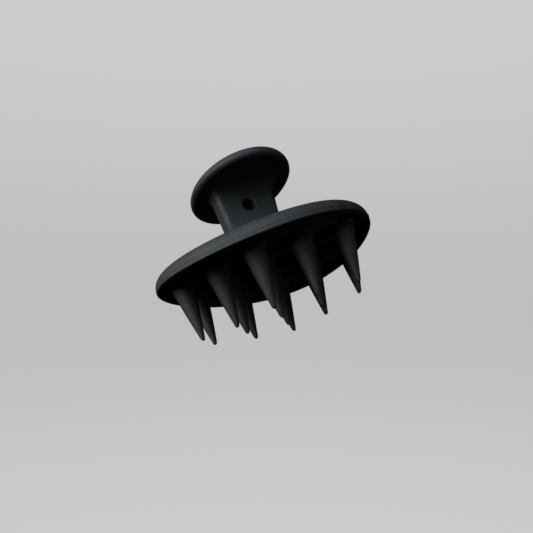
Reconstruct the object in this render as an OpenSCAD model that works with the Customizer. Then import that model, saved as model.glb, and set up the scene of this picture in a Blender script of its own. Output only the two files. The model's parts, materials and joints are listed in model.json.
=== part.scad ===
// Hand-held scalp massager: a round domed base with stout soft cone bristles under it,
// and an oval dished palm knob on a flat neck with a hanging hole.
// It stands upright on its bristle tips: z = 0 is the plane of the tips, the base's axis is Z,
// the hanging hole runs along Y, and the neck is widest along X.

/* [Base] */
// Outside radius of the round base
base_r = 42.5; // [42:0.5:46]
// Height of the base's lower rim above the bristle tips
rim_z = 19.8; // [18:0.2:24]
// Height of the upright lip around the base
lip_h = 0.8; // [0.7:0.1:1.2]
// Radius of the rounded shoulder above the lip
shoulder_r = 5.6; // [5.4:0.1:6]
// How much the dome rises from the shoulder to the middle
dome_rise = 3; // [2.6:0.1:3.6]
// Wall of the base cover
cover_wall = 1.5; // [1.2:0.1:1.6]

/* [Bristles] */
// Distance between neighbouring bristle roots
root_pitch = 18.1; // [16:0.1:18.2]
// Pitch of the tips as a share of the pitch of the roots, so that the bristles lean inward
tip_share = 0.945; // [0.9:0.005:1]
// Turn of the bristle pattern about the vertical axis
pattern_turn = -26; // [-60:2:60]
// Radius of a bristle where it leaves the pad
root_r = 4.15; // [3.8:0.05:4.2]
// Radius of the blunt bristle tip
tip_r = 0.85; // [0.6:0.05:1.2]

/* [Neck] */
// Thickness of the neck, measured along the hanging hole
neck_t = 9; // [8:0.5:10]
// Width of the neck where it leaves the base cover
neck_w = 20.2; // [18.8:0.2:20.4]
// How far each side of the neck leans outward, in degrees
neck_flare = 5; // [3:0.5:6]
// Radius of the hanging hole
hole_r = 2.6; // [2:0.1:3]
// Height of the hanging hole above the base's lower rim
hole_z = 27.9; // [27.5:0.1:28.3]

/* [Knob] */
// Half width of the oval knob along X
knob_rx = 20.1; // [19.6:0.1:21]
// Half length of the oval knob along Y
knob_ry = 27.6; // [26.5:0.1:28.5]
// Radius of the rolled bead along the knob's edge
bead_r = 1.6; // [1.4:0.1:1.8]
// Height of the bead's centre above the base's lower rim
bead_z = 37; // [36.7:0.1:37.3]

/* [Hidden] */
$fn = 96;
eps = 0.01;

// Base cover: heights above its lower rim
inner_r = base_r - cover_wall;
shoulder_x = base_r - shoulder_r;
dome_r = (shoulder_x * shoulder_x + dome_rise * dome_rise) / (2 * dome_rise);
dome_top = lip_h + shoulder_r + dome_rise;
shoulder_lap = 0.3;

// Soft pad, its retaining ring and the rigid plate above it
pad_z0 = 0.6;
pad_step_z = 1.3;
pad_z1 = 3.55;
pad_r = inner_r - 1.4;
pad_low_r = inner_r - 2.8;
ring_z0 = 0.25;
ring_z1 = 1.25;
ring_gap = 0.1;
plate_z0 = 3.85;
plate_t = 1.3;
plate_r = 33;

// Spigot of the neck, which passes the cover's window and stands on the plate
spigot_w = 18;
spigot_t = 6.6;
seat_gap = 0.02;
window_gap = 0.1;

// Countersunk screws up through the plate into the neck
screw_x = 5.5;
screw_r = 1.2;
screw_head_r = 2.4;
screw_head_h = 1.2;
screw_len = 10;
screw_gap = 0.05;

// Bristles: staggered rows of two, three, four, three and two
row_counts = [2, 3, 4, 3, 2];
row_step = root_pitch * sin(60);
pivot_z = 1.9;
ball_r = 4.7;
ball_low = 1.3;
ball_high = 0.3;
socket_gap = 0.1;
drop = rim_z + pivot_z - tip_r;
function row_x(row) = (row - (len(row_counts) - 1) / 2) * row_step;
function row_y(row, k) = (k - (row_counts[row] - 1) / 2) * root_pitch;
function turned(p, a) = [p[0] * cos(a) - p[1] * sin(a), p[0] * sin(a) + p[1] * cos(a)];
spots = [for (row = [0 : len(row_counts) - 1]) for (k = [0 : row_counts[row] - 1])
    turned([row_x(row), row_y(row, k)], pattern_turn)];

// Knob: a long oval with a dish below and a cap above
end_y = knob_ry - knob_rx;
core_inset = 16.5;
cap_top = 41;
cap_edge_inset = 1.9;
cap_edge_z = bead_z + bead_r + 0.1;
cap_span = core_inset - cap_edge_inset;
cap_rise = cap_top - cap_edge_z;
cap_arc_r = (cap_span * cap_span + cap_rise * cap_rise) / (2 * cap_rise);
cap_wall = 1.2;
cap_gap = 0.1;
cup_top = cap_top - cap_wall - cap_gap;
dish_z = 38;
dish_r = 3;
dish_x = 2 * bead_r + dish_r + 0.2;
cup_low = bead_z + 0.3;
front_cove_r = 6.5;
side_cove_r = 5;
side_cove_top = 37.2;
peg_x = 7;
peg_r = 1.6;
peg_len = 5;
peg_gap = 0.05;

function bristle_name(i) = str("bristle_", i < 9 ? "0" : "", i + 1);

// Half of the dome's section, with its outside moved in by inset
module dome_half(inset) {
    intersection() {
        union() {
            square([base_r - inset, lip_h]);
            square([shoulder_x + shoulder_lap, dome_top + 1]);
            translate([shoulder_x, lip_h]) circle(r = shoulder_r - inset);
        }
        square([base_r + 1, dome_top + 2]);
        translate([0, dome_top - dome_r]) circle(r = dome_r - inset, $fn = 720);
    }
}

// The domed upper shell, open below, with a window for the neck's spigot
module base_cover() {
    color([0.10, 0.10, 0.11])
    translate([0, 0, rim_z])
    difference() {
        rotate_extrude() dome_half(0);
        translate([0, 0, -eps]) cylinder(r = inner_r, h = 2 * eps);
        rotate_extrude() dome_half(cover_wall);
        translate([0, 0, dome_top / 2])
        cube([spigot_w + 2 * window_gap, spigot_t + 2 * window_gap, dome_top + 1], center = true);
    }
}

// The knob's long oval outline, moved in by inset
module oval(inset) {
    square([2 * (knob_rx - inset), 2 * end_y], center = true);
    for (s = [-1, 1]) translate([0, s * end_y]) circle(r = knob_rx - inset);
}

// Carries a section around the oval: x = 0 is the outline, and negative x is inside it
module around_oval() {
    for (turn = [0, 180]) rotate(turn) {
        translate([0, end_y, 0]) rotate_extrude(angle = 180) translate([knob_rx, 0]) children();
        translate([0, end_y, 0]) rotate([90, 0, 0])
        linear_extrude(2 * end_y) translate([knob_rx, 0]) children();
    }
}

// Part of the cap's section that lies under an arc set back by depth
module under_arc(depth) {
    intersection() {
        translate([-core_inset, cap_top - cap_arc_r]) circle(r = cap_arc_r - depth, $fn = 180);
        translate([-core_inset, cap_edge_z]) square([core_inset, cap_rise]);
    }
}

// Section of the knob's cup: the rolled bead and the shell above the dish
module cup_section() {
    translate([-bead_r, bead_z]) circle(r = bead_r);
    difference() {
        union() {
            translate([-core_inset, cup_low]) square([core_inset - bead_r, cap_edge_z - cup_low]);
            under_arc(cap_wall + cap_gap);
        }
        translate([-core_inset - eps, 0]) square([core_inset - dish_x + eps, dish_z]);
        translate([-dish_x, dish_z - dish_r]) circle(r = dish_r);
    }
}

// The neck seen from the front: sides that lean out and end in small coves
module neck_front() {
    low = dome_top + seat_gap;
    half = neck_w / 2;
    lean = tan(neck_flare);
    cove_z = side_cove_top - side_cove_r;
    cove_x = half + lean * (cove_z - low) + side_cove_r;
    polygon([[-half, low], [half, low], [half + lean * (dish_z - low), dish_z + eps],
             [-half - lean * (dish_z - low), dish_z + eps]]);
    difference() {
        translate([-cove_x, cove_z]) square([2 * cove_x, dish_z - cove_z + eps]);
        for (s = [-1, 1]) translate([s * cove_x, cove_z]) circle(r = side_cove_r);
    }
}

// The neck seen from the side: an even thickness that opens into the dish in large coves
module neck_side() {
    half = neck_t / 2;
    cove_y = half + front_cove_r;
    cove_z = dish_z - front_cove_r;
    difference() {
        translate([-cove_y, 0]) square([2 * cove_y, dish_z + eps]);
        for (s = [-1, 1]) {
            translate([s * cove_y, cove_z]) circle(r = front_cove_r);
            translate([s * (half + cove_y) / 2, cove_z / 2])
            square([cove_y - half + eps, cove_z + eps], center = true);
        }
    }
}

// Neck, spigot and the knob's cup in one piece
module handle() {
    color([0.11, 0.12, 0.13])
    translate([0, 0, rim_z])
    difference() {
        union() {
            around_oval() cup_section();
            translate([0, 0, dish_z]) linear_extrude(cup_top - dish_z) oval(core_inset);
            intersection() {
                translate([0, knob_ry, 0]) rotate([90, 0, 0])
                linear_extrude(2 * knob_ry) neck_front();
                translate([-knob_rx, 0, 0]) rotate([90, 0, 90])
                linear_extrude(2 * knob_rx) neck_side();
                linear_extrude(cap_edge_z) oval(bead_r);
            }
            translate([-spigot_w / 2, -spigot_t / 2, plate_z0 + plate_t + seat_gap])
            cube([spigot_w, spigot_t, dome_top - plate_z0 - plate_t + 1]);
        }
        translate([0, 0, hole_z]) rotate([90, 0, 0])
        cylinder(r = hole_r, h = 2 * neck_t, center = true);
        for (s = [-1, 1]) {
            translate([s * screw_x, 0, plate_z0]) cylinder(r = screw_r + screw_gap, h = screw_len + 1);
            translate([s * peg_x, 0, cup_top - peg_len - 1]) cylinder(r = peg_r + peg_gap, h = peg_len + 2);
        }
    }
}

// The smooth palm side of the knob, held by two pegs
module palm_cap() {
    color([0.12, 0.12, 0.13])
    translate([0, 0, rim_z]) {
        around_oval() difference() {
            under_arc(0);
            under_arc(cap_wall);
        }
        translate([0, 0, cap_top - cap_wall]) linear_extrude(cap_wall) oval(core_inset);
        for (s = [-1, 1]) translate([s * peg_x, 0, cup_top - peg_len])
        cylinder(r = peg_r, h = peg_len + cap_gap + cap_wall / 2);
    }
}

// The rigid disc that the neck stands on and that backs the soft pad
module backing_plate() {
    color([0.16, 0.16, 0.17])
    translate([0, 0, rim_z + plate_z0])
    difference() {
        cylinder(r = plate_r, h = plate_t);
        for (s = [-1, 1]) translate([s * screw_x, 0, 0]) screw(screw_gap);
    }
}

// One countersunk screw with its head's face at z = 0
module screw(gap) {
    translate([0, 0, -eps])
    cylinder(r1 = screw_head_r + gap, r2 = screw_r + gap, h = screw_head_h + eps);
    cylinder(r = screw_r + gap, h = screw_len);
}

// The two screws that pull the neck down onto the cover and plate
module handle_screws() {
    color("silver")
    translate([0, 0, rim_z + plate_z0])
    for (s = [-1, 1]) translate([s * screw_x, 0, eps]) screw(0);
}

// The soft pad, with a round socket for each bristle's ball root
module bristle_pad() {
    color([0.08, 0.08, 0.09])
    translate([0, 0, rim_z])
    difference() {
        union() {
            translate([0, 0, pad_z0]) cylinder(r = pad_low_r, h = pad_step_z - pad_z0 + eps);
            translate([0, 0, pad_step_z]) cylinder(r = pad_r, h = pad_z1 - pad_step_z);
        }
        for (p = spots) translate([p[0], p[1], pivot_z]) sphere(r = ball_r + socket_gap);
    }
}

// The ring that holds the pad's edge up against the cover
module retaining_ring() {
    color([0.09, 0.09, 0.10])
    translate([0, 0, rim_z + ring_z0])
    difference() {
        cylinder(r = inner_r - ring_gap, h = ring_z1 - ring_z0);
        translate([0, 0, -eps]) cylinder(r = pad_low_r + ring_gap, h = ring_z1 - ring_z0 + 2 * eps);
    }
}

// One cone bristle with a ball root, leaning towards the base's axis
module bristle(i) {
    p = spots[i];
    out = norm(p);
    shift = out * (1 - tip_share);
    reach = sqrt(drop * drop + shift * shift);
    color([0.07, 0.07, 0.08])
    translate([p[0], p[1], rim_z + pivot_z])
    rotate([0, 0, atan2(p[1], p[0])])
    rotate([0, atan2(shift, drop), 0])
    rotate([180, 0, 0]) {
        intersection() {
            sphere(r = ball_r);
            translate([-ball_r, -ball_r, -ball_high]) cube([2 * ball_r, 2 * ball_r, ball_high + ball_low]);
        }
        translate([0, 0, ball_low - eps])
        cylinder(r1 = root_r, r2 = tip_r, h = reach - ball_low + eps);
        translate([0, 0, reach]) sphere(r = tip_r);
    }
}

base_cover();
handle();
palm_cap();
backing_plate();
bristle_pad();
retaining_ring();
handle_screws();
for (i = [0 : len(spots) - 1]) bristle(i);
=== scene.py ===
"""Looks of a hand-held scalp massager: soft black rubber bristles under a domed base, and an oval
dished knob on a flat neck. Everything is in metres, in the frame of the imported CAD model."""

import json
import math

import bpy
import numpy as np
from mathutils import Matrix, Vector

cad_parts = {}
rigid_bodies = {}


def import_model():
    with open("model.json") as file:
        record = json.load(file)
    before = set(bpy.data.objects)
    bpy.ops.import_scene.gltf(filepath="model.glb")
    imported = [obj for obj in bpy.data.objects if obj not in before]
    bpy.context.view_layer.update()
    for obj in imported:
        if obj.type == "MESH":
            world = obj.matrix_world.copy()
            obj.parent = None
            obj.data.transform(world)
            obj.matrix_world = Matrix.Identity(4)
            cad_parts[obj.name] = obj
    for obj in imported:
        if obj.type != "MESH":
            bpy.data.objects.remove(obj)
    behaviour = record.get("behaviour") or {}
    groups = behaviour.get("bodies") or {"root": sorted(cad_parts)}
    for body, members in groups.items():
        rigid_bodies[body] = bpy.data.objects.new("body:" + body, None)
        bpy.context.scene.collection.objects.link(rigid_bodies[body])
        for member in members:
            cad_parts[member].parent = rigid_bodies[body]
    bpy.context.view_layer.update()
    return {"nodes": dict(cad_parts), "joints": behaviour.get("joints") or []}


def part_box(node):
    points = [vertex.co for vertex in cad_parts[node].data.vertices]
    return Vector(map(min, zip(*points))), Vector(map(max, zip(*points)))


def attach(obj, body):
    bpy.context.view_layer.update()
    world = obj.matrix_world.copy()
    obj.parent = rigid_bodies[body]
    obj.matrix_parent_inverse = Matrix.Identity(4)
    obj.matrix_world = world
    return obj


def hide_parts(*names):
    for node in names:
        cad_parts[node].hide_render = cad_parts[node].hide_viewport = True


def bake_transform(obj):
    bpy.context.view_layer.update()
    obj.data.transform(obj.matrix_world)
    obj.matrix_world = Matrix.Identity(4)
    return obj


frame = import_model()

# ---------------------------------------------------------------- sizes, all from the frame
MM = 0.001
BODY = frame["joints"][0]["parent"]
cover_low, cover_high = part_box("base_cover")
handle_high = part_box("handle")[1]
cap_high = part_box("palm_cap")[1]
pad_low, pad_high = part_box("bristle_pad")
ring_low, ring_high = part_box("retaining_ring")

RIM_Z = cover_low.z
DOME_TOP = cover_high.z
BASE_R = cover_high.x
KNOB_RX = handle_high.x
KNOB_RY = handle_high.y
CAP_TOP = cap_high.z
PAD_RIM_R = ring_high.x - 2.6 * MM
PAD_Z = pad_low.z + 1.6 * MM  # the soft face lies deeper behind the lip than its plain CAD solid

# Cover
COVER_WALL = 1.5 * MM
LIP_H = 0.8 * MM
SHOULDER_R = 5.6 * MM
SHOULDER_X = BASE_R - SHOULDER_R
DOME_RISE = DOME_TOP - RIM_Z - LIP_H - SHOULDER_R
DOME_R = (SHOULDER_X ** 2 + DOME_RISE ** 2) / (2 * DOME_RISE)
DOME_CENTRE_Z = DOME_TOP - DOME_R

# The base of this one is a little bent: two opposite ends of its rim stand higher
BEND_RISE = 4.4 * MM
BEND_TURN = math.radians(-37.1)

# Rim details: a parting groove, a nub of mould flash and a faint unevenness
GROOVE_RISE = 1.0 * MM
NUB_TURN = math.radians(-34.5)
NUB_SPREAD = 0.45 * MM
NUB_STANDS = 0.4 * MM
RIM_WAVE = 0.05 * MM

# Neck and hanging hole
NECK_HALF_T = 4.5 * MM
NECK_HALF_W = 10.1 * MM
NECK_LEAN = math.tan(math.radians(5))
HOLE_R = 2.6 * MM
HOLE_Z = RIM_Z + 27.9 * MM
FOOT_R = 1.0 * MM
FOOT_SINK = 0.45 * MM
NECK_EDGE_R = 2.0 * MM

# Knob
BEAD_R = 1.6 * MM
BEAD_Z = RIM_Z + 37.0 * MM
CUP_WALL = 2.1 * BEAD_R
DISH_Z = RIM_Z + 38.0 * MM
DISH_R = 3.0 * MM
FRONT_COVE_R = 6.5 * MM
SIDE_COVE_R = 5.0 * MM
SIDE_COVE_Z = RIM_Z + 37.2 * MM
CAP_EDGE_Z = BEAD_Z + BEAD_R + 0.1 * MM
CAP_EDGE_INSET = 1.9 * MM
CAP_WALL = 1.2 * MM

# Bristles
ROOT_R = 4.5 * MM
TIP_R = 0.7 * MM
ROOT_FILLET = 0.6 * MM
ROOT_DEPTH = 1.2 * MM

# ---------------------------------------------------------------- camera
CAMERA_AZIMUTH = math.radians(-21.5)
CAMERA_ELEVATION = math.radians(-17.4)
CAMERA_ROLL = math.radians(-19.3)
CAMERA_DISTANCE = 0.203
AIM_RIGHT = -1.0 * MM
AIM_UP = 2.55 * MM
LENS_MM = 36.07


def camera_axes():
    """Right, up and back directions of the main camera."""
    az, el = CAMERA_AZIMUTH, CAMERA_ELEVATION
    back = Vector((math.sin(az) * math.cos(el), -math.cos(az) * math.cos(el), math.sin(el)))
    level_right = Vector((math.cos(az), math.sin(az), 0))
    level_up = back.cross(level_right)
    right = level_right * math.cos(CAMERA_ROLL) + level_up * math.sin(CAMERA_ROLL)
    up = level_up * math.cos(CAMERA_ROLL) - level_right * math.sin(CAMERA_ROLL)
    return right, up, back


def make_camera():
    right, up, back = camera_axes()
    data = bpy.data.cameras.new("main_camera")
    data.sensor_width = 36
    data.lens = LENS_MM
    data.clip_start = 0.01
    data.clip_end = 10
    camera = bpy.data.objects.new("main_camera", data)
    bpy.context.scene.collection.objects.link(camera)
    place = Vector((0, 0, RIM_Z)) + right * AIM_RIGHT + up * AIM_UP + back * CAMERA_DISTANCE
    camera.matrix_world = Matrix.Translation(place) @ Matrix((right, up, back)).transposed().to_4x4()
    bpy.context.scene.camera = camera


# ---------------------------------------------------------------- mesh tools
def bend_rise(x, y):
    """How far the bent base stands above its flat shape."""
    across = (x * math.cos(BEND_TURN) + y * math.sin(BEND_TURN)) / BASE_R
    return BEND_RISE * across ** 2


def bent(points):
    """Points of the flat base, moved to its bent shape."""
    return [(x, y, z + bend_rise(x, y)) for x, y, z in points]


def add_piece(name, points, faces, material):
    """A smooth-shaded mesh piece with one material."""
    mesh = bpy.data.meshes.new(name)
    mesh.from_pydata([tuple(p) for p in points], [], [tuple(f) for f in faces])
    mesh.validate()
    mesh.shade_smooth()
    mesh.materials.append(material)
    piece = bpy.data.objects.new(name, mesh)
    bpy.context.scene.collection.objects.link(piece)
    return piece


def ring_faces(rings, around, closed):
    """Quads between neighbouring rings; closed joins the last ring to the first."""
    faces = []
    for r in range(rings if closed else rings - 1):
        low, high = r * around, ((r + 1) % rings) * around
        for k in range(around):
            n = (k + 1) % around
            faces.append((low + k, low + n, high + n, high + k))
    return faces


def revolved(section, around):
    """Points and faces of a closed section (radius, z) turned about the Z axis."""
    points = [(r * math.cos(a), r * math.sin(a), z) for r, z in section
              for a in (2 * math.pi * k / around for k in range(around))]
    return points, ring_faces(len(section), around, True)


def arc(centre, radius, start, end, count):
    """Points of an arc in a section, angles in degrees from the outward direction."""
    angles = [math.radians(start + (end - start) * i / count) for i in range(count + 1)]
    return [(centre[0] + radius * math.cos(a), centre[1] + radius * math.sin(a)) for a in angles]


def surface_net(field, low, high, cell):
    """Closed mesh of the surface where field(points) is zero, with its points pulled onto it."""
    low = np.array(low, float)
    counts = np.ceil((np.array(high, float) - low) / cell).astype(int) + 1
    axes = [low[i] + cell * np.arange(counts[i]) for i in range(3)]
    grid = np.stack(np.meshgrid(*axes, indexing="ij"), -1)
    values = field(grid.reshape(-1, 3)).reshape(counts)
    cells = counts - 1
    total = np.zeros((*cells, 3))
    crossings = np.zeros(cells)
    for axis in range(3):
        step = np.eye(3, dtype=int)[axis]
        others = [np.eye(3, dtype=int)[i] for i in range(3) if i != axis]
        for corner in (0 * step, others[0], others[1], others[0] + others[1]):
            near = values[tuple(slice(c, c + n) for c, n in zip(corner, cells))]
            far = values[tuple(slice(c, c + n) for c, n in zip(corner + step, cells))]
            cut = (near < 0) != (far < 0)
            share = np.where(cut, near / np.where(cut, near - far, 1), 0)
            spot = grid[tuple(slice(c, c + n) for c, n in zip(corner, cells))].copy()
            spot[..., axis] += share * cell
            total += np.where(cut[..., None], spot, 0)
            crossings += cut
    active = crossings > 0
    number = np.full(cells, -1)
    number[active] = np.arange(active.sum())
    points = total[active] / crossings[active][:, None]
    faces = []
    for axis in range(3):
        b, c = (axis + 1) % 3, (axis + 2) % 3
        edge = np.moveaxis(values, (axis, b, c), (0, 1, 2))
        owner = np.moveaxis(number, (axis, b, c), (0, 1, 2))
        starts, ends = edge[:-1, 1:-1, 1:-1] < 0, edge[1:, 1:-1, 1:-1] < 0
        i, j, k = np.nonzero(starts != ends)
        quad = np.stack([owner[i, j, k], owner[i, j + 1, k], owner[i, j + 1, k + 1], owner[i, j, k + 1]], 1)
        outward = starts[i, j, k]
        quad[~outward] = quad[~outward][:, ::-1]
        faces.append(quad)
    return pulled(field, points, 0.05 * cell), np.concatenate(faces)


def pulled(field, points, reach):
    """Points moved along the field's slope until they lie on its zero surface."""
    for _ in range(3):
        slope = np.stack([(field(points + s) - field(points - s)) / (2 * reach)
                          for s in reach * np.eye(3)], 1)
        steep = np.maximum((slope ** 2).sum(1), 0.2)
        points = points - slope * (field(points) / steep)[:, None]
    return points


def round_union(a, b, radius):
    """Both shapes, with a fillet of that radius between them."""
    return np.maximum(radius, np.minimum(a, b)) - np.hypot(
        np.maximum(radius - a, 0), np.maximum(radius - b, 0))


def round_meet(a, b, radius):
    """What the two shapes share, with a rounded edge."""
    return -round_union(-a, -b, radius)


# ---------------------------------------------------------------- knob and neck
def outline_inset(x, y):
    """How far a point lies inside the knob's oval outline."""
    share = np.hypot(x / KNOB_RX, y / KNOB_RY)
    slope = np.hypot(x / KNOB_RX ** 2, y / KNOB_RY ** 2)
    return np.where(slope > 1e-6, (1 - share) * share / np.maximum(slope, 1e-6), KNOB_RX)


def cup_field(x, y, z):
    """The rolled bead with the shell that domes over the dish."""
    inset = outline_inset(x, y)
    bead = np.hypot(inset - BEAD_R, z - BEAD_Z) - BEAD_R
    wall = inset - CUP_WALL
    shell = round_union(wall, DISH_Z - z, DISH_R)
    top = z - (CAP_EDGE_Z + (CAP_TOP - CAP_WALL - CAP_EDGE_Z) * crown(1 - inset / KNOB_RX))
    shell = np.maximum(np.maximum(shell, BEAD_Z - z), round_meet(top, BEAD_R * 0.6 - inset, 0.3 * MM))
    return round_union(bead, shell, 1.2 * MM)


def crown(share):
    """Rise of the knob's palm side, from 1 at its middle to 0 at its edge."""
    return 1 - np.clip(np.abs(share), 0, 1) ** 2


def neck_field(x, y, z):
    """The flat neck, whose faces open into the dish in large coves and whose sides in small ones."""
    half_w = NECK_HALF_W + NECK_LEAN * (z - DOME_TOP)
    front = round_union(np.abs(y) - NECK_HALF_T, DISH_Z - z, FRONT_COVE_R)
    side = round_union((np.abs(x) - half_w) * 0.994, SIDE_COVE_Z - z, SIDE_COVE_R)
    neck = round_meet(front, side, NECK_EDGE_R)
    inside_knob = np.maximum(BEAD_R - outline_inset(x, y), z - (DISH_Z + 0.5 * MM))
    return np.where(z > BEAD_Z - FRONT_COVE_R, np.maximum(neck, inside_knob), neck)


def handle_field(points):
    x, y, z = points.T
    flat_z = z - bend_rise(x, y)
    dome = np.sqrt(x ** 2 + y ** 2 + (flat_z - DOME_CENTRE_Z) ** 2) - DOME_R
    column = neck_field(x, y, z)
    neck = np.maximum(round_union(column, dome, FOOT_R), np.maximum(-dome - FOOT_SINK, column - FOOT_R))
    whole = round_union(neck, cup_field(x, y, z), 0.8 * MM)
    hole = np.hypot(x, z - HOLE_Z) - HOLE_R
    return round_meet(whole, -hole, 0.35 * MM)


def make_handle(material):
    low = (-KNOB_RX - 1 * MM, -KNOB_RY - 1 * MM, DOME_TOP - 1.5 * MM)
    high = (KNOB_RX + 1 * MM, KNOB_RY + 1 * MM, CAP_TOP + 1 * MM)
    points, faces = surface_net(handle_field, low, high, 0.42 * MM)
    piece = add_piece("neck_and_cup", points, faces, material)
    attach(piece, BODY)
    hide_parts("handle")


def make_cap(material):
    """The palm side of the knob: a crowned oval shell with a rounded edge."""
    around = 160
    edge = CAP_EDGE_INSET
    rise = CAP_TOP - CAP_EDGE_Z
    shares = [i / 36 for i in range(1, 36)] + [0.985]
    top = [(t, CAP_EDGE_Z + 0.35 * MM + (rise - 0.35 * MM) * float(crown(t))) for t in shares]
    rim = [(1.0, CAP_EDGE_Z + 0.25 * MM), (1.0, CAP_EDGE_Z + 0.05 * MM), (0.97, CAP_EDGE_Z)]
    under = [(t, z - CAP_WALL) for t, z in reversed(top) if z - CAP_WALL > CAP_EDGE_Z]
    rings = top + rim + under
    points = [(t * (KNOB_RX - edge) * math.cos(a), t * (KNOB_RY - edge) * math.sin(a), z)
              for t, z in rings for a in (2 * math.pi * k / around for k in range(around))]
    faces = ring_faces(len(rings), around, False)
    points += [(0, 0, CAP_TOP), (0, 0, CAP_TOP - CAP_WALL)]
    last = (len(rings) - 1) * around
    for k in range(around):
        n = (k + 1) % around
        faces.append((len(points) - 2, n, k))
        faces.append((len(points) - 1, last + k, last + n))
    piece = add_piece("palm_side", points, [f[::-1] for f in faces], material)
    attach(piece, BODY)
    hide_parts("palm_cap")


# ---------------------------------------------------------------- base
def make_cover(material):
    """Domed cover: a lip with a fine parting groove, a round shoulder and a thin wall."""
    z0 = RIM_Z
    edge = 0.3 * MM
    groove_z = z0 + GROOVE_RISE
    dome_turn = math.degrees(math.asin(SHOULDER_X / DOME_R))
    outside = arc((BASE_R - edge, z0 + edge), edge, -90, 0, 6)
    outside += [(BASE_R, groove_z - 0.25 * MM), (BASE_R - 0.04 * MM, groove_z - 0.1 * MM),
                (BASE_R - 0.16 * MM, groove_z)]
    outside += arc((SHOULDER_X, z0 + LIP_H), SHOULDER_R, 5, 90 - dome_turn, 22)
    outside += arc((0, DOME_CENTRE_Z), DOME_R, 90 - dome_turn * 0.98, 90, 40)
    outside[-1] = (0.2 * MM, DOME_TOP)
    inner_shoulder = SHOULDER_R - COVER_WALL
    inside = arc((0, DOME_CENTRE_Z), DOME_R - COVER_WALL, 90, 90 - dome_turn * 0.98, 12)
    inside[0] = (0.2 * MM, DOME_TOP - COVER_WALL)
    inside += arc((SHOULDER_X, z0 + LIP_H), inner_shoulder, 90 - dome_turn, 0, 8)
    inside += arc((BASE_R - COVER_WALL + edge, z0 + edge), edge, 180, 270, 5)
    points, faces = revolved(outside + inside, 320)
    points = bent([nubbed(p) for p in points])
    piece = add_piece("domed_cover", points, [f[::-1] for f in faces], material)
    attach(piece, BODY)
    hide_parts("base_cover")


def nubbed(point):
    """A point of the cover, moved by the nub of mould flash and the lip's faint unevenness."""
    x, y, z = point
    r, turn = math.hypot(x, y), math.atan2(y, x)
    lip = max(0.0, 1 - (z - RIM_Z) / (2.5 * MM)) * max(0.0, min(1.0, (r - 0.9 * BASE_R) / (0.1 * BASE_R)))
    away = math.hypot((turn - NUB_TURN) * BASE_R, z - RIM_Z - GROOVE_RISE)
    bump = NUB_STANDS * math.exp(-(away / NUB_SPREAD) ** 2) if r > BASE_R - 1 * MM else 0
    wave = RIM_WAVE * lip * (math.sin(5 * turn + 1) + math.sin(11 * turn) - 2)
    grow = (r + bump + wave) / r
    return x * grow, y * grow, z


def make_ring(material):
    """The ring that holds the pad: the lip's underside, which slopes in and up to the pad."""
    inner, outer = PAD_RIM_R + 0.05 * MM, ring_high.x - 0.05 * MM
    edge = 0.3 * MM
    z0, z1 = ring_low.z, PAD_Z + 0.5 * MM
    slope = [(inner + 1.7 * MM * (1 - t) ** 1.6, z0 + (PAD_Z - z0) * t)
             for t in (0.92, 0.7, 0.5, 0.3, 0.15, 0.05)]
    section = arc((outer - edge, z0 + edge), edge, -90, 0, 5)
    section += [(outer, ring_high.z), (inner + 1.0 * MM, z1), (inner, z1), *slope, (inner + 2.0 * MM, z0)]
    points, faces = revolved(section, 256)
    piece = add_piece("pad_ring", bent(points), [f[::-1] for f in faces], material)
    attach(piece, BODY)
    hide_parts("retaining_ring")


def make_pad(material):
    """The soft pad: a disc with a softly rounded edge and a face that sags a little in the middle."""
    edge, sag = 0.5 * MM, 0.35 * MM
    z1 = pad_high.z
    face = [(PAD_RIM_R * t, PAD_Z + sag * t ** 2)
            for t in (0.005, 0.1, 0.2, 0.3, 0.4, 0.5, 0.6, 0.7, 0.8, 0.9)]
    side = arc((PAD_RIM_R - edge, PAD_Z + sag + edge), edge, -90, 0, 6)
    section = face + side + [(PAD_RIM_R, z1), (0.005 * PAD_RIM_R, z1)]
    points, faces = revolved(section, 256)
    piece = add_piece("soft_pad", bent(points), [f[::-1] for f in faces], material)
    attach(piece, BODY)
    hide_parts("bristle_pad")


# ---------------------------------------------------------------- bristles
def tip_of(node):
    """Middle of a bristle's lowest end, from its CAD solid."""
    spots = np.array([v.co for v in frame["nodes"][node].data.vertices])
    lowest = spots[spots[:, 2] < spots[:, 2].min() + 0.3 * MM]
    return Vector(lowest.mean(0))


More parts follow.
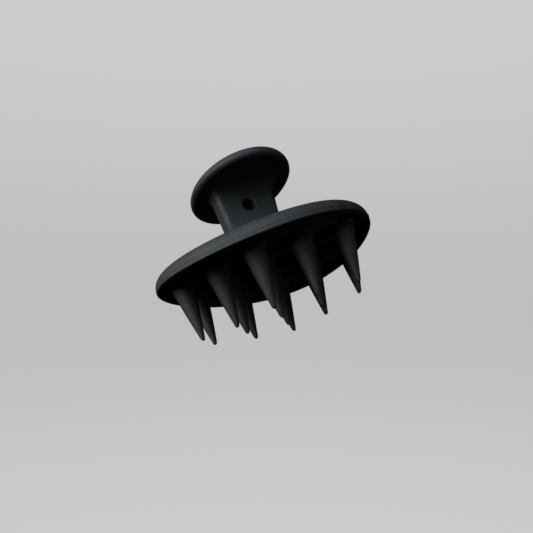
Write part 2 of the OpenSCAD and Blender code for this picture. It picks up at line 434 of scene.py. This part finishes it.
def make_bristle(node, root, number, material):
    """One stout cone with a fillet at its root and a worn, unevenly cut tip."""
    rng = np.random.default_rng(100 + number)
    tip = tip_of(node)
    length = PAD_Z - tip.z
    rise = bend_rise(root.x, root.y)
    around = 64
    fillet = [(ROOT_R + ROOT_FILLET, -ROOT_DEPTH), (ROOT_R + ROOT_FILLET, -0.1 * MM)]
    fillet += [(ROOT_R + ROOT_FILLET * (1 - math.sin(a)), ROOT_FILLET * (1 - math.cos(a)))
               for a in (math.pi / 2 * i / 8 for i in range(9))]
    body = [(ROOT_R + (TIP_R - ROOT_R) * t + 0.1 * MM * math.sin(math.pi * t), t * length)
            for t in (0.05 + 0.925 * i / 44 for i in range(45))]
    end = [(TIP_R * s, length * (0.978 + 0.022 * math.sqrt(1 - s ** 4)))
           for s in (0.96, 0.88, 0.7, 0.4, 0.08)]
    rings = fillet + body + end
    lean = Vector((tip.x - root.x, tip.y - root.y)) / length
    waves = [(rng.uniform(0, 2 * math.pi), rng.uniform(0.5, 1)) for _ in range(4)]
    cut_turn, cut_slope = rng.uniform(0, 2 * math.pi), rng.uniform(0.15, 0.45)
    points = []
    for radius, down in rings:
        near_tip = max(0.0, (down / length - 0.93) / 0.07)
        for k in range(around):
            a = 2 * math.pi * k / around
            chip = sum(h * math.sin((m + 2) * a + p) for m, (p, h) in enumerate(waves))
            r = radius * (1 + 0.06 * near_tip * chip + 0.006 * math.sin(3 * a + waves[0][0]))
            drop = down - near_tip * (cut_slope * TIP_R * (1 + math.cos(a - cut_turn))
                                      + 0.12 * TIP_R * abs(chip)) * min(1.0, radius / TIP_R)
            middle = root.xy + lean * max(drop, 0)
            points.append((middle.x + r * math.cos(a), middle.y + r * math.sin(a), PAD_Z - drop + rise))
    faces = [f[::-1] for f in ring_faces(len(rings), around, False)]
    last = (len(rings) - 1) * around
    faces.append(tuple(range(around)))
    faces.append(tuple(last + k for k in reversed(range(around))))
    piece = add_piece(f"soft_{node}", points, [f[::-1] for f in faces], material)
    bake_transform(piece)
    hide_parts(node)


# ---------------------------------------------------------------- materials
class Graph:
    """Small helper that adds and links shader nodes of one material."""

    def __init__(self, name):
        self.material = bpy.data.materials.new(name)
        self.material.use_nodes = True
        self.tree = self.material.node_tree
        self.shader = self.tree.nodes["Principled BSDF"]

    def add(self, kind, **settings):
        node = self.tree.nodes.new(kind)
        for key, value in settings.items():
            if hasattr(node, key):
                setattr(node, key, value)
            else:
                node.inputs[key].default_value = value
        return node

    def link(self, source, target):
        self.tree.links.new(source, target)

    def noise(self, scale, detail=3.0, roughness=0.5):
        """Noise over the object's own space, with scale in waves per metre."""
        node = self.add("ShaderNodeTexNoise")
        node.inputs["Scale"].default_value = scale
        node.inputs["Detail"].default_value = detail
        node.inputs["Roughness"].default_value = roughness
        self.link(self.place.outputs["Object"], node.inputs["Vector"])
        return node.outputs["Fac"]

    @property
    def place(self):
        if not hasattr(self, "_place"):
            self._place = self.add("ShaderNodeTexCoord")
        return self._place

    def ramp(self, value, stops):
        """Colour ramp with stops of (position, grey or colour)."""
        node = self.add("ShaderNodeValToRGB")
        elements = node.color_ramp.elements
        while len(elements) < len(stops):
            elements.new(0.5)
        for element, (position, tone) in zip(elements, stops):
            element.position = position
            element.color = (*tone, 1) if isinstance(tone, tuple) else (tone, tone, tone, 1)
        self.link(value, node.inputs["Fac"])
        return node.outputs["Color"]

    def mix(self, share, low, high):
        node = self.add("ShaderNodeMix", data_type="RGBA")
        for name, value in (("Factor", share), ("A", low), ("B", high)):
            socket = node.inputs[name]
            if isinstance(value, bpy.types.NodeSocket):
                self.link(value, socket)
            else:
                socket.default_value = value
        return node.outputs["Result"]


def rgba(r, g, b):
    return (r, g, b, 1)


def rubber(name, dark, light, dust_share):
    """Matt black moulded rubber: cloudy tone, uneven sheen, fine grain and patches of dust specks."""
    g = Graph(name)
    cloud = g.ramp(g.noise(160, 4, 0.6), [(0.35, 0.0), (0.68, 1.0)])
    colour = g.mix(cloud, rgba(*dark), rgba(*light))
    specks = g.ramp(g.noise(2600, 2, 0.4), [(0.71 - dust_share, 0.0), (0.76 - dust_share, 1.0)])
    patches = g.ramp(g.noise(210, 3, 0.7), [(0.42, 0.0), (0.66, 1.0)])
    dust = g.add("ShaderNodeMath", operation="MULTIPLY")
    g.link(specks, dust.inputs[0])
    g.link(patches, dust.inputs[1])
    colour = g.mix(dust.outputs[0], colour, rgba(0.10, 0.105, 0.11))
    g.link(colour, g.shader.inputs["Base Color"])
    rough = g.ramp(g.noise(420, 5, 0.6), [(0.3, 0.58), (0.7, 0.72)])
    g.link(rough, g.shader.inputs["Roughness"])
    grain = g.add("ShaderNodeBump", Strength=0.35, Distance=0.05 * MM)
    g.link(g.noise(3200, 4, 0.65), grain.inputs["Height"])
    g.link(grain.outputs["Normal"], g.shader.inputs["Normal"])
    g.shader.inputs["Specular IOR Level"].default_value = 0.35
    return g.material


def plain_plastic():
    """Plain black plastic of the hidden backing plate."""
    g = Graph("inner_plastic_grained")
    tone = g.ramp(g.noise(300, 4), [(0.3, (0.03, 0.03, 0.033)), (0.7, (0.05, 0.05, 0.054))])
    g.link(tone, g.shader.inputs["Base Color"])
    g.link(g.ramp(g.noise(900, 3), [(0.3, 0.4), (0.7, 0.6)]), g.shader.inputs["Roughness"])
    return g.material


def screw_steel():
    """Zinc-plated steel with fine turning marks."""
    g = Graph("screw_steel_turned")
    tone = g.ramp(g.noise(2000, 4), [(0.3, (0.45, 0.45, 0.47)), (0.7, (0.62, 0.62, 0.64))])
    g.link(tone, g.shader.inputs["Base Color"])
    g.link(g.ramp(g.noise(3500, 3), [(0.3, 0.25), (0.7, 0.42)]), g.shader.inputs["Roughness"])
    g.shader.inputs["Metallic"].default_value = 1.0
    return g.material


def dress(node, material):
    """Gives a carried-over CAD node its finish."""
    slots = frame["nodes"][node].data.materials
    slots.clear()
    slots.append(material)


# ---------------------------------------------------------------- stage and light
def make_floor():
    """Plain pale floor under the brush. It shows from above only, so the low camera sees past it."""
    g = Graph("pale_floor")
    tone = g.ramp(g.noise(60, 4), [(0.3, (0.62, 0.62, 0.61)), (0.7, (0.68, 0.68, 0.67))])
    g.link(tone, g.shader.inputs["Base Color"])
    g.shader.inputs["Roughness"].default_value = 0.8
    side = g.add("ShaderNodeNewGeometry")
    clear = g.add("ShaderNodeBsdfTransparent")
    choice = g.add("ShaderNodeMixShader")
    g.link(side.outputs["Backfacing"], choice.inputs[0])
    g.link(g.shader.outputs[0], choice.inputs[1])
    g.link(clear.outputs[0], choice.inputs[2])
    g.link(choice.outputs[0], g.tree.nodes["Material Output"].inputs["Surface"])
    half = 3.0
    mesh = bpy.data.meshes.new("floor")
    corners = [(x * half, y * half, 0) for x, y in ((-1, -1), (1, -1), (1, 1), (-1, 1))]
    mesh.from_pydata(corners, [], [(0, 1, 2, 3)])
    mesh.materials.append(g.material)
    floor = bpy.data.objects.new("floor", mesh)
    bpy.context.scene.collection.objects.link(floor)
    floor.visible_diffuse = False
    floor.visible_glossy = False
    floor.visible_transmission = False
    floor.visible_shadow = False


def make_light(name, direction, distance, size, power):
    """A soft square light that faces the middle of the object."""
    data = bpy.data.lights.new(name, "AREA")
    data.size = size
    data.energy = power
    light = bpy.data.objects.new(name, data)
    bpy.context.scene.collection.objects.link(light)
    middle = Vector((0, 0, RIM_Z))
    light.location = middle + direction.normalized() * distance
    light.rotation_euler = (light.location - middle).to_track_quat("Z", "Y").to_euler()


GLOW_TO_CAMERA_LEFT = (0.35, -0.7, 0.8)  # up, right and back shares of the glow's direction
GLOW_STRENGTH = 2.1
GLOW_FADES_FROM = 0.1
GLOW_LOWEST = -0.22  # the glow stops a little below the level of the base
GLOW_FADE = 0.6


def make_world():
    """Pale backdrop, seen by the camera only, with painted shade in a darker band a little below its
    middle, and a soft glow from the window's side above the base.
    """
    world = bpy.data.worlds.new("pale_room")
    bpy.context.scene.world = world
    world.use_nodes = True
    tree = world.node_tree
    direction = tree.nodes.new("ShaderNodeTexCoord")
    height = tree.nodes.new("ShaderNodeVectorMath")
    height.operation = "DOT_PRODUCT"
    height.inputs[1].default_value = camera_axes()[1]
    tree.links.new(direction.outputs["Generated"], height.inputs[0])
    height_share = tree.nodes.new("ShaderNodeMapRange")
    height_share.inputs["From Min"].default_value = -0.45
    height_share.inputs["From Max"].default_value = 0.45
    tree.links.new(height.outputs["Value"], height_share.inputs["Value"])
    tone = tree.nodes.new("ShaderNodeValToRGB")
    tone.color_ramp.interpolation = "EASE"
    stops = tone.color_ramp.elements
    # painted shade: the backdrop dims from 0.60 to 0.52 in a band a little below its middle, then brightens
    # to 0.61 further down
    stops.new(0.42)
    for stop, (place, grey) in zip(stops, ((0.0, 0.60), (0.42, 0.52), (1.0, 0.61))):
        stop.position = place
        stop.color = (grey, grey, grey * 0.985, 1)
    tree.links.new(height_share.outputs["Result"], tone.inputs["Fac"])
    seen = tree.nodes["Background"]
    tree.links.new(tone.outputs["Color"], seen.inputs["Color"])
    right, up, back = camera_axes()
    glows = []
    side = sum((axis * share for axis, share in zip((up, right, back), GLOW_TO_CAMERA_LEFT)), Vector())
    above = Vector((0, 0, 1))
    for toward, start, full in ((side, GLOW_FADES_FROM, GLOW_STRENGTH), (above, GLOW_LOWEST, 1.0)):
        facing = tree.nodes.new("ShaderNodeVectorMath")
        facing.operation = "DOT_PRODUCT"
        facing.inputs[1].default_value = toward.normalized()
        tree.links.new(direction.outputs["Generated"], facing.inputs[0])
        glow = tree.nodes.new("ShaderNodeMapRange")
        glow.inputs["From Min"].default_value = start
        glow.inputs["From Max"].default_value = start + GLOW_FADE
        glow.inputs["To Max"].default_value = full
        glow.interpolation_type = "SMOOTHSTEP"
        tree.links.new(facing.outputs["Value"], glow.inputs["Value"])
        glows.append(glow.outputs["Result"])
    both = tree.nodes.new("ShaderNodeMath")
    both.operation = "MULTIPLY"
    tree.links.new(glows[0], both.inputs[0])
    tree.links.new(glows[1], both.inputs[1])
    lit = tree.nodes.new("ShaderNodeBackground")
    lit.inputs["Color"].default_value = (0.93, 0.98, 1.0, 1)
    tree.links.new(both.outputs["Value"], lit.inputs["Strength"])
    path = tree.nodes.new("ShaderNodeLightPath")
    choice = tree.nodes.new("ShaderNodeMixShader")
    tree.links.new(path.outputs["Is Camera Ray"], choice.inputs[0])
    tree.links.new(lit.outputs[0], choice.inputs[1])
    tree.links.new(seen.outputs[0], choice.inputs[2])
    tree.links.new(choice.outputs[0], tree.nodes["World Output"].inputs["Surface"])


def make_lights():
    right, up, back = camera_axes()
    make_light("window", -right * 0.9 + up * 0.35 + back * 0.75, distance=0.8, size=0.6, power=5)
    make_light("room_bounce", right - up * 0.1 + back * 0.1, distance=0.8, size=0.6, power=0.35)


# ---------------------------------------------------------------- build
bpy.context.scene.view_settings.view_transform = "Standard"
make_camera()
make_world()
make_lights()
make_floor()

shell_rubber = rubber("shell_rubber", (0.009, 0.012, 0.014), (0.016, 0.020, 0.022), 0.03)
bristle_rubber = rubber("bristle_rubber", (0.009, 0.0105, 0.012), (0.015, 0.017, 0.0185), 0.0)
make_cover(shell_rubber)
make_handle(shell_rubber)
make_cap(shell_rubber)
make_ring(shell_rubber)
roots = {j["child"]: Vector(j["pos_m"]) for j in frame["joints"]}
make_pad(bristle_rubber)
for number, (node, root) in enumerate(sorted(roots.items())):
    make_bristle(node, root, number, bristle_rubber)
dress("backing_plate", plain_plastic())
dress("handle_screws", screw_steel())
